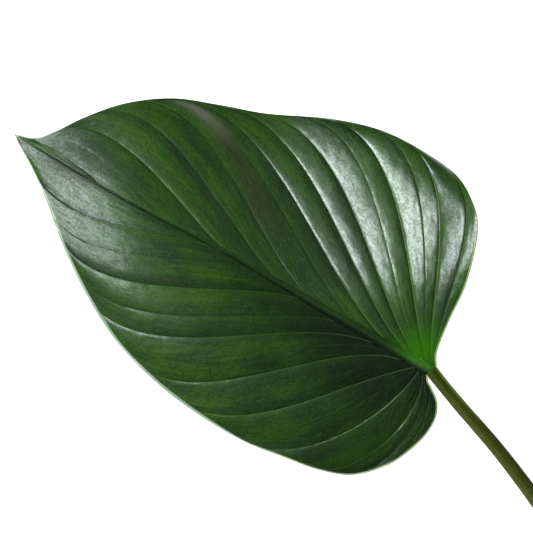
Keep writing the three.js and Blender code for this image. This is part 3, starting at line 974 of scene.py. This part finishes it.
def litBaseAndVeins(group, at, green):
    # painted light: brighter green at the base of the right half, on the side facing the lamp; and veins
    # that are palest near the stalk
    look, base, strength = leafLook, leafLook["base"], leafLook["veinStrength"]
    litBase = spots(at.x, at.y, [base["spot"]]) * at.y.gone(*base["side"])
    green = group.blend(litBase, green, look["litBaseGreen"])
    line = at.veinDistance.gone(*look["veinWidth"]) * at.veinDepth * (1 - at.onMidrib)
    near = strength["right"] - strength["lessOnLeft"] * at.left
    far = strength["leftFar"] * at.alongVein.gone(*strength["farEnd"]) * at.left
    share = at.fromStalk.bell(look["veinReach"]) * near + far
    return group.blend(line * share * (1 - litBase), green, look["veinGreen"])


def paleRim(group, at, green):
    # widest along the middle of the left half; both its width and its strength change along the margin
    look, near = leafLook, at.nearShare
    wide, strength = look["rimWidth"], look["rimStrength"]
    parts = {name: near.between(*place) for name, place in look["rimPlaces"].items()}
    width = wide["least"]
    for name, part in parts.items():
        width = wide[name] * part + width
    left = near.fade(-0.01, 0.01)
    right = near.fade(-0.25, -0.20) * strength["rightBase"] + near.gone(-0.95, -0.88) * strength["rightTip"]
    share = left * strength["left"] + right * (1 - left)
    rim = (at.edgeDistance / width).gone(*look["rimSoftness"])
    yellow = parts["base"].above(parts["lobe"] * 0.5)
    rimColour = group.blend(yellow, look["rimGreen"], look["rimYellow"])
    green = group.blend(rim * share, green, rimColour)
    return group.blend(at.x.fade(look["tipStart"], plan["length"]), green, look["tipYellow"])


def paleUnderside(group, at):
    look = leafLook
    pale = group.blend(at.streaks * 0.6, look["underGreen"], look["midGreen"])
    line = at.veinDistance.gone(*look["underVeinWidth"]) * at.veinDepth
    return group.blend(line * 0.5, pale, look["veinGreen"])


def leafMaterial():
    material, group = startMaterial("leafGreen")
    look = leafLook
    at = leafFacts(group)
    green = streakedGreen(group, at)
    for step in (shadedGreen, bloomStreak, litBaseAndVeins, paleRim):
        green = step(group, at, green)
    colour = group.blend(at.under.fade(0.3, 0.7), green, paleUnderside(group, at))
    rough = look["roughness"] + look["roughnessSpread"] * (at.fine - 0.5) + at.under * look["underRougher"]
    # fine relief and uneven wax break up the gloss
    relief = {"Strength": 1.0, "Distance": look["reliefDepth"], "Height": mixture(at, look["relief"])}
    wax = 1 + spots(at.x, at.y, look["waxSpots"]) - at.beside * look["waxLessBesideMidrib"]
    wax = wax * at.fromStalk.fade(*look["waxStart"])
    glints = mixture(at, look["gloss"]).fade(*look["glossRange"])
    gloss = look["leastGloss"] + (1 - look["leastGloss"]) * glints
    endMaterial(group, {
        "Base Color": colour,
        "Roughness": rough,
        "IOR": look["refraction"],
        "Specular IOR Level": look["specular"],
        "Coat Weight": look["coat"] * gloss * wax,
        "Coat Roughness": look["coatRoughness"],
        "Normal": group.node("ShaderNodeBump", {}, relief),
    })
    return material


blade = makeBlade(leafMaterial())
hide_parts("blade")
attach(blade, "root")
print("blade made", len(blade.data.polygons))

# Stalk: a swept rod with fine flutes, lying on the surface at its far end, in millimetres

stalkLook = {
    "course": [(0, 0), (-11.5, 4.6), (-24, 9.3), (-50, 18.6), (-84, 33.6), (-122, 54), (-160, 78)],
    "radiusAtBlade": 3.3,
    "radiusBehindBlade": 2.95,
    "radiusAtCut": 4.1,
    "flatSpot": 0.35,  # how far its round is cut off below
    "restFrom": 0.86,  # share of its length at which it comes to lie flat
    "sinkPower": 1.3,
    "swellReach": 0.25,
    "flutes": 9.0,
    "fluteDepth": 0.04,
    "fineFlutes": 34.0,
    "fineDepth": 0.03,
    "waver": 0.4,
    "sides": 144,
    "stations": 260,
    "sunk": 1.2,  # how far its end reaches into the midrib
    "jointReach": 3.6,  # radius of the blade's round base
    "seed": 2.0,
    "greenEnd": (0.023, 0.043, 0.001),
    "olive": (0.049, 0.056, 0.005),
    # painted shade for the side turned from the lamp
    "shade": (0.024, 0.036, 0.002),
    # painted light for the stalk's right edge behind the blade
    "litEdgeGreen": (0.150, 0.210, 0.022),
    "speckle": (0.095, 0.098, 0.026),
    "brown": (0.040, 0.036, 0.006),
    "cutPale": (0.42, 0.48, 0.24),
    "roughness": 0.5,
    "roughnessSpread": 0.12,
    "specular": 0.07,
    "reliefDepth": 0.0004,  # in metres
    "shadedSide": (-0.55, 0.55),  # how far a point faces away from the light
    "strengths": {
        "shade": 0.85, "brown": 0.6, "lines": 0.2, "paleStreaks": 0.5, "darkStreaks": 0.6, "speckle": 0.6,
    },
    "greenReach": (0.02, 0.15),  # shares of its length
    "litEdgeReach": (0.08, 0.24),
    "cutStart": (0.9990, 0.9998),
    # scale, detail, roughness and seed
    "streaks": (3.2, 4, 0.65, 4.0),
    "blotches": (0.5, 3, 0.6, 9.0),
    "dots": (1100.0, 2, 0.6, 14.0),
    "rings": (900.0, 3, 0.6, 7.0),
}


def stalkHeights(share, startHeight):
    endHeight = stalkLook["radiusAtCut"] - stalkLook["flatSpot"]
    sink = (1 - np.clip(share / stalkLook["restFrom"], 0, 1)) ** stalkLook["sinkPower"]
    return endHeight + (startHeight - endHeight) * sink


def stalkRadius(share):
    look = stalkLook
    swell = np.clip(share / look["swellReach"], 0, 1)
    thinner = (look["radiusBehindBlade"] - look["radiusAtBlade"]) * swell * (2 - swell)
    return look["radiusAtBlade"] + thinner + (look["radiusAtCut"] - look["radiusBehindBlade"]) * share


def stalkCurve(startHeight):
    share = np.linspace(0, 1, stalkLook["stations"])
    xy = along(stalkLook["course"], share)
    z = stalkHeights(share, startHeight)
    data = bpy.data.curves.new("stalkCourse", "CURVE")
    data.dimensions = "3D"
    data.twist_mode = "Z_UP"
    spline = data.splines.new("POLY")
    spline.points.add(len(share) - 1)
    places = np.column_stack([xy * mm, z * mm, np.ones(len(share))])
    places[:, 0] += shift.x
    places[:, 1] += shift.y
    places[0, 0] += stalkLook["sunk"] * mm
    spline.points.foreach_set("co", places.ravel())
    spline.points.foreach_set("radius", stalkRadius(share) * mm)
    return data


def marked(group, geometry, name):
    # stores each point's share of its spline
    return group.node(
        "GeometryNodeStoreNamedAttribute", {"data_type": "FLOAT", "domain": "POINT"},
        {"Geometry": geometry, "Name": name, "Value": group.node("GeometryNodeSplineParameter")},
    )


def stalkTree(sizes):
    tree, group, value = startTree("flutedStalk", sizes)
    circle = group.node(
        "GeometryNodeCurvePrimitiveCircle", {"mode": "RADIUS"},
        {"Resolution": value["Sides"], "Radius": 1.0},
    )
    rod = group.node("GeometryNodeCurveToMesh", {}, {
        "Curve": marked(group, value["Geometry"], "stalkShare"),
        "Profile Curve": marked(group, circle, "stalkTurn"),
        "Scale": group.node("GeometryNodeInputRadius"),
        "Fill Caps": True,
    })
    # broad and fine flutes that start behind the blade
    angle = group.attribute("stalkTurn") * (2 * math.pi)
    wobble = group.noise(group.node("GeometryNodeInputPosition"), 40.0, 2, 0.5, value["Seed"]) - 0.5
    broad = (angle * value["Flutes"]).cosine() * value["Flute Depth"]
    fine = (angle * value["Fine Flutes"] + wobble * 2).cosine() * value["Fine Depth"]
    depth = (broad + fine) * group.attribute("stalkShare").fade(0.0, 0.12) + wobble * value["Waver"]
    offset = group.scaled(group.node("GeometryNodeInputNormal"), depth)
    moved = group.node("GeometryNodeSetPosition", {}, {"Geometry": rod, "Offset": offset})
    # flat where it rests on the surface
    x, y, z = group.separate(group.node("GeometryNodeInputPosition"))
    flat = group.combine(x, y, z.above(0))
    rested = group.node("GeometryNodeSetPosition", {}, {"Geometry": moved, "Position": flat})
    endTree(tree, group, rested, value["Material"])
    return tree


def stalkMaterial():
    material, group = startMaterial("stalkOlive")
    look, strength = stalkLook, stalkLook["strengths"]
    share, toRight = group.attribute("stalkShare"), group.attribute("stalkSide")
    angle = group.attribute("stalkTurn") * (2 * math.pi)
    place = group.node("ShaderNodeTexCoord", out=3)
    net = group.combine(angle.cosine() * 4, angle.sine() * 4, share * 4)
    streaks = group.noise(net, *look["streaks"])
    blotches = group.noise(net, *look["blotches"])
    dots = group.noise(place, *look["dots"])
    lines = (angle * look["fineFlutes"]).cosine() * 0.5 + 0.5
    # painted shade on the side turned from the lamp; the light speckles are fainter there too
    side = toRight.fade(*look["shadedSide"])
    rod = group.blend(side * strength["shade"], look["olive"], look["shade"])
    brown = (blotches * 0.8 + share * 0.6 - 0.35).fade(0.1, 0.8)
    rod = group.blend(brown * strength["brown"], rod, look["brown"])
    pale = lines * strength["lines"] + streaks.fade(0.5, 0.7) * strength["paleStreaks"]
    rod = group.blend(pale, rod, look["olive"])
    rod = group.blend(streaks.gone(0.3, 0.5) * strength["darkStreaks"], rod, look["shade"])
    speckle = dots.fade(0.45, 0.65) * (1 - side * 0.7)
    rod = group.blend(speckle * strength["speckle"], rod, look["speckle"])
    # greener behind the blade, darkest on the side turned from the lamp as painted shade, and a painted
    # light edge on the right there
    rod = group.blend(share.gone(*look["greenReach"]) * (side * 0.65 + 0.3), rod, look["greenEnd"])
    rod = group.blend(share.gone(*look["litEdgeReach"]) * toRight.fade(0.45, 0.85), rod, look["litEdgeGreen"])
    cut = group.blend(group.noise(place, *look["rings"]), look["cutPale"], look["olive"])
    relief = {"Strength": 0.5, "Distance": look["reliefDepth"], "Height": streaks}
    endMaterial(group, {
        "Base Color": group.blend(share.fade(*look["cutStart"]), rod, cut),
        "Roughness": look["roughness"] + look["roughnessSpread"] * streaks,
        "Specular IOR Level": look["specular"],
        "Normal": group.node("ShaderNodeBump", {}, relief),
    })
    return material


def jointHeight(piece):
    # height at which the stalk's middle meets the blade's round base
    points = np.zeros(len(piece.data.vertices) * 3)
    piece.data.vertices.foreach_get("co", points)
    points = points.reshape(-1, 3)
    near = np.hypot(points[:, 0] - shift.x, points[:, 1] - shift.y) < stalkLook["jointReach"] * mm
    return points[near, 2].max() / mm - stalkLook["radiusAtBlade"]


def makeStalk(material):
    look = stalkLook
    sizes = {
        "Sides": look["sides"], "Flutes": look["flutes"], "Flute Depth": look["fluteDepth"] * mm,
        "Fine Flutes": look["fineFlutes"], "Fine Depth": look["fineDepth"] * mm,
        "Waver": look["waver"] * mm, "Seed": look["seed"],
    }
    source = linkPiece("stalkCourse", stalkCurve(jointHeight(blade)))
    piece = applyTree(source, stalkTree(sizes), {**sizes, "Material": material}, "leafStalk")
    piece.data.shade_smooth()
    # how far each point faces the picture's upper right, away from the lamp, for the painted shade and the
    # painted light edge
    toward = (pictureRight + pictureUp).normalized()
    normals = np.zeros(len(piece.data.vertices) * 3)
    piece.data.vertex_normals.foreach_get("vector", normals)
    storeNumbers(piece.data, "stalkSide", normals.reshape(-1, 3) @ np.array(toward))
    return piece


stalk = makeStalk(stalkMaterial())
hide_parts("petiole")
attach(stalk, "root")
print("stalk made", len(stalk.data.polygons))

# Floor and light

studio = {
    "floorSize": 8.0,
    "floorColour": (0.92, 0.92, 0.92),
    "floorGlow": 1.0,
    "floorRoughness": 0.9,
    "floorSpecular": 0.1,
    "skyStrength": 0.05,
    "lampColour": (0.90, 1.0, 0.98),
}

# Each light: direction toward it in the picture (right, up), its angle above the floor, distance,
# width and height, and power
lamps = {
    "sideSoftbox": {
        "toward": (-0.98, 0.20), "elevation": 53, "distance": 1.7, "size": (0.66, 1.3), "power": 50,
    },
    "fill": {"toward": (0.8, 0.6), "elevation": 50, "distance": 2.2, "size": (1.2, 1.2), "power": 1},
}


def addFloor():
    half = studio["floorSize"] / 2
    corners = [(-half, -half, 0), (half, -half, 0), (half, half, 0), (-half, half, 0)]
    floor = linkPiece("studioFloor", meshFrom("studioFloor", corners, [(0, 1, 2, 3)]))
    material, group = startMaterial("paleFloor")
    endMaterial(group, {
        "Base Color": (*studio["floorColour"], 1),
        "Roughness": studio["floorRoughness"],
        "Specular IOR Level": studio["floorSpecular"],
        "Emission Color": (1, 1, 1, 1),
        "Emission Strength": studio["floorGlow"],
    })
    floor.data.materials.append(material)


def addLamp(name, lamp):
    data = bpy.data.lights.new(name, "AREA")
    data.shape = "RECTANGLE"
    data.size, data.size_y = lamp["size"]
    data.energy = lamp["power"]
    data.color = studio["lampColour"]
    flat = (pictureRight * lamp["toward"][0] + pictureUp * lamp["toward"][1]).normalized()
    angle = math.radians(lamp["elevation"])
    away = flat * math.cos(angle) + Vector((0, 0, math.sin(angle)))
    side = Vector((0, 0, 1)).cross(away).normalized()
    turn = Matrix((away.cross(side), side, away)).transposed()
    light = bpy.data.objects.new(name, data)
    light.matrix_world = Matrix.Translation(pictureMiddle + away * lamp["distance"]) @ turn.to_4x4()
    bpy.context.scene.collection.objects.link(light)


def addSky():
    world = bpy.data.worlds.new("studioSky")
    world.use_nodes = True
    world.node_tree.nodes["Background"].inputs[0].default_value = (1, 1, 1, 1)
    world.node_tree.nodes["Background"].inputs[1].default_value = studio["skyStrength"]
    bpy.context.scene.world = world


addFloor()
for name, lamp in lamps.items():
    addLamp(name, lamp)
addSky()
bpy.context.scene.view_settings.view_transform = "Standard"
bpy.context.scene.view_settings.look = "None"
print("studio lit")
